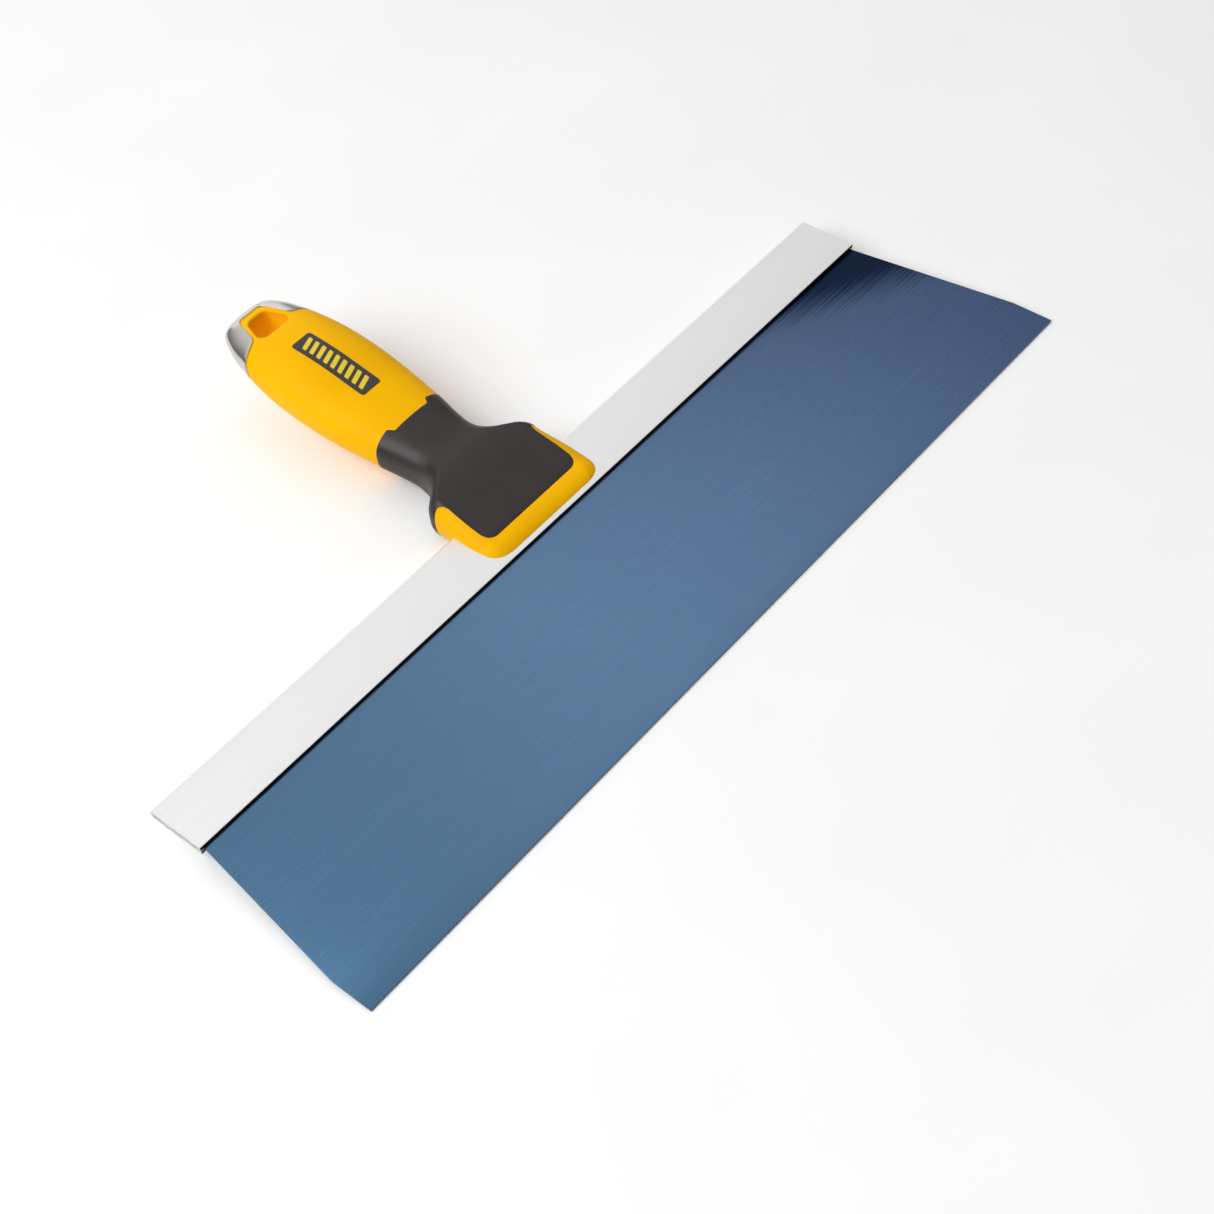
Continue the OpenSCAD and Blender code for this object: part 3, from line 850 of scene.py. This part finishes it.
def make_shell(name, mask, depth, proud, end_wall, rim, material, node):
    """A shell over the part of the skin that a mask picks, with rounded rims.

    Its outer face stands proud, and its lining lies at its depth. An end wall closes the butt."""
    bm, station, around = handle_sheet(proud)
    keep = set(faces_on(bm, mask))
    bmesh.ops.delete(bm, geom=[f for f in bm.faces if f not in keep], context="FACES")
    if end_wall:
        end_ring = [e for e in bm.edges
                    if e.is_boundary and all(v[station] > HANDLE_L - NEAR for v in e.verts)]
        bmesh.ops.holes_fill(bm, edges=end_ring, sides=0)
    face_outwards(bm)
    rims = [e for e in bm.edges if e.is_boundary]
    ring_verts = {v for e in rims for v in e.verts}
    lining = bmesh.ops.extrude_face_region(bm, geom=list(bm.faces), use_keep_orig=True)["geom"]
    sink(only_verts(lining), station, around, depth, end_wall)
    face_outwards(bm)
    corner_angle = math.radians(40)
    outer_rims = [e for e in bm.edges if all(v in ring_verts for v in e.verts)
                  and e.calc_face_angle(0) > corner_angle]
    ease_edges(bm, outer_rims, rim, 3)
    finish_piece(name, bm, material, [node], sharp=50)


make_core()
make_shell("grip_sleeve", on_grip, sleeve_depth, GRIP_PROUD, 0.0, GRIP_RIM, BLACK,
           "soft_grip")
make_shell("butt_cap", on_cap, cap_depth, CAP_PROUD, CAP_T, CAP_RIM, ZINC, "end_cap")

# ---------------------------------------------------------------------------------------------
# Badge: a thin plate that follows the palm, with plain slanted bars
# ---------------------------------------------------------------------------------------------

BADGE_W = badge_hi.x - badge_lo.x
BADGE_L = badge_hi.y - badge_lo.y
BADGE_Y = (badge_lo.y + badge_hi.y) / 2
BADGE_R = 0.8
BADGE_T = 0.5


def badge_point(across, along, lift):
    """A point on the palm's crown, in millimetres from the badge's middle."""
    y = BADGE_Y + along
    return Vector((across, y, top_z(y - NOSE_Y) + lift))


def badge_sheet(centre, size, slant, corner, lift, thickness):
    """A thin rounded sheet on the crown of the palm."""
    wide, long = size
    bm = bmesh.new()
    bmesh.ops.create_grid(bm, x_segments=8, y_segments=24, size=0.5)
    for v in bm.verts:
        # Corners pull in to a round
        x, y = v.co.x * wide, v.co.y * long
        dx, dy = abs(x) - (wide / 2 - corner), abs(y) - (long / 2 - corner)
        if dx > 0 and dy > 0:
            reach = math.hypot(dx, dy)
            limit = max(dx, dy)
            x = math.copysign(wide / 2 - corner + dx * limit / reach, x)
            y = math.copysign(long / 2 - corner + dy * limit / reach, y)
        v.co = badge_point(centre[0] + x, centre[1] + y + slant * x, lift)
    face_outwards(bm)
    raised = bmesh.ops.extrude_face_region(bm, geom=list(bm.faces), use_keep_orig=True)["geom"]
    bmesh.ops.translate(bm, vec=(0, 0, -thickness), verts=only_verts(raised))
    face_outwards(bm)
    return bm


def make_badge():
    plate_lift, bar_lift, bar_t, bar_slant, bar_r = 0.1, 0.14, 0.1, 0.35, 0.3
    plate = badge_sheet((0, 0), (BADGE_W, BADGE_L), 0, BADGE_R, plate_lift, BADGE_T)
    finish_piece("badge_plate", plate, VINYL, ["badge"])
    bar_count, bar_pitch, bar_w, bar_l = 9, 3.0, 5.0, 1.7
    marks = bmesh.new()
    for k in range(bar_count):
        centre = (0, (k - (bar_count - 1) / 2) * bar_pitch)
        bar = badge_sheet(centre, (bar_w, bar_l), bar_slant, bar_r, bar_lift, bar_t)
        piece = bpy.data.meshes.new("bar")
        bar.to_mesh(piece)
        bar.free()
        marks.from_mesh(piece)
        bpy.data.meshes.remove(piece)
    finish_piece("badge_bars", marks, INK)


make_badge()

# The tang and the rivets are sealed in the head: they keep their solids, with their own finish
TANG_STEEL = zinc_plated_steel("zinc_plated_tang_steel", "a4a9ae")
RIVET_STEEL = zinc_plated_steel("zinc_plated_rivet_steel", "c2c6ca")
for node_name, node in frame["nodes"].items():
    if node_name == "tang" or node_name.startswith("rivet_"):
        node.data.materials.clear()
        node.data.materials.append(TANG_STEEL if node_name == "tang" else RIVET_STEEL)

# ---------------------------------------------------------------------------------------------
# Bench, light and camera
# ---------------------------------------------------------------------------------------------


def bench_laminate():
    """Pale matt laminate, almost white, with a barely visible mottle."""
    material, tree, shader, place = blank("bench_laminate")
    mottle = add(tree, "ShaderNodeTexNoise", Vector=place, Scale=per_metre(80.0), Detail=2.0)
    tone = ramp(tree, mottle.outputs["Fac"], [(0.3, from_hex("fcfcfc")), (0.7, from_hex("ffffff"))])
    set_shader(tree, shader, Base_Color=tone, Roughness=0.85)
    return material


def make_bench():
    """A floor so wide that no edge of it shows, set a hair under the knife."""
    half_width_m, drop_m = 60.0, 0.0002
    bm = bmesh.new()
    bmesh.ops.create_grid(bm, x_segments=1, y_segments=1, size=half_width_m)
    bench = new_object("bench", bm)
    bench.data.materials.append(bench_laminate())
    bench.location.z = -drop_m


def away_from(azimuth, elevation):
    """The way out from the knife, by angles in radians. At 0 it is in front of the edge."""
    flat = math.cos(elevation)
    return Vector((math.sin(azimuth) * flat, -math.cos(azimuth) * flat, math.sin(elevation)))


def soft_light(name, azimuth, elevation, distance, size, watts):
    """A white square soft box that faces the knife, placed in degrees and metres."""
    light = bpy.data.lights.new(name, "AREA")
    light.shape = "SQUARE"
    light.size = size
    light.energy = watts
    box = bpy.data.objects.new(name, light)
    away = away_from(math.radians(azimuth), math.radians(elevation))
    box.location = away * distance
    box.rotation_mode = "QUATERNION"
    box.rotation_quaternion = away.to_track_quat("Z", "Y")
    bpy.context.scene.collection.objects.link(box)


def make_light():
    """A soft sky, a key light up on the left, and a low card behind for the cap and the rail."""
    world = bpy.data.worlds.new("studio")
    world.use_nodes = True
    tree = world.node_tree
    # A broad soft ceiling, brightest up behind the knife, over a studio that is dark near the floor
    brightest = (0.25, 0.35, 0.90)
    towards = add(tree, "ShaderNodeVectorMath", {"operation": "DOT_PRODUCT"},
                  i0=add(tree, "ShaderNodeTexCoord").outputs["Generated"], i1=brightest)
    sky = ramp(tree, towards.outputs["Value"], [
        (0.0, grey(0.12)), (0.4, grey(0.2)), (0.65, grey(0.38)), (0.82, grey(0.62)),
        (0.91, grey(0.85)), (0.98, grey(1.0))])
    tree.links.new(sky, tree.nodes["Background"].inputs["Color"])
    bpy.context.scene.world = world
    soft_light("key_softbox", azimuth=-106, elevation=48, distance=1.6, size=1.2, watts=20)
    soft_light("rim_card", azimuth=156, elevation=15, distance=1.6, size=1.0, watts=2.4)


def make_camera():
    """The camera looks down from off the left end of the working edge, and leans a little."""
    stand_mm = Vector((-300.44, -274.24, 495.50))
    azimuth, elevation, lean = (math.radians(v) for v in (-42.313, 49.602, -9.267))
    back = away_from(azimuth, elevation)
    level = Vector((math.cos(azimuth), math.sin(azimuth), 0))
    right = level * math.cos(lean) + back.cross(level) * math.sin(lean)
    up = back.cross(right)
    pose = Matrix((right, up, back)).transposed().to_4x4()
    data = bpy.data.cameras.new("camera")
    data.lens = 67.52
    data.sensor_width = 36.0
    data.clip_start = 0.01
    camera = bpy.data.objects.new("camera", data)
    camera.matrix_world = LAY @ Matrix.Translation(stand_mm * MM) @ pose
    bpy.context.scene.collection.objects.link(camera)
    bpy.context.scene.camera = camera


make_bench()
make_light()
make_camera()
bpy.context.scene.view_settings.view_transform = "Standard"
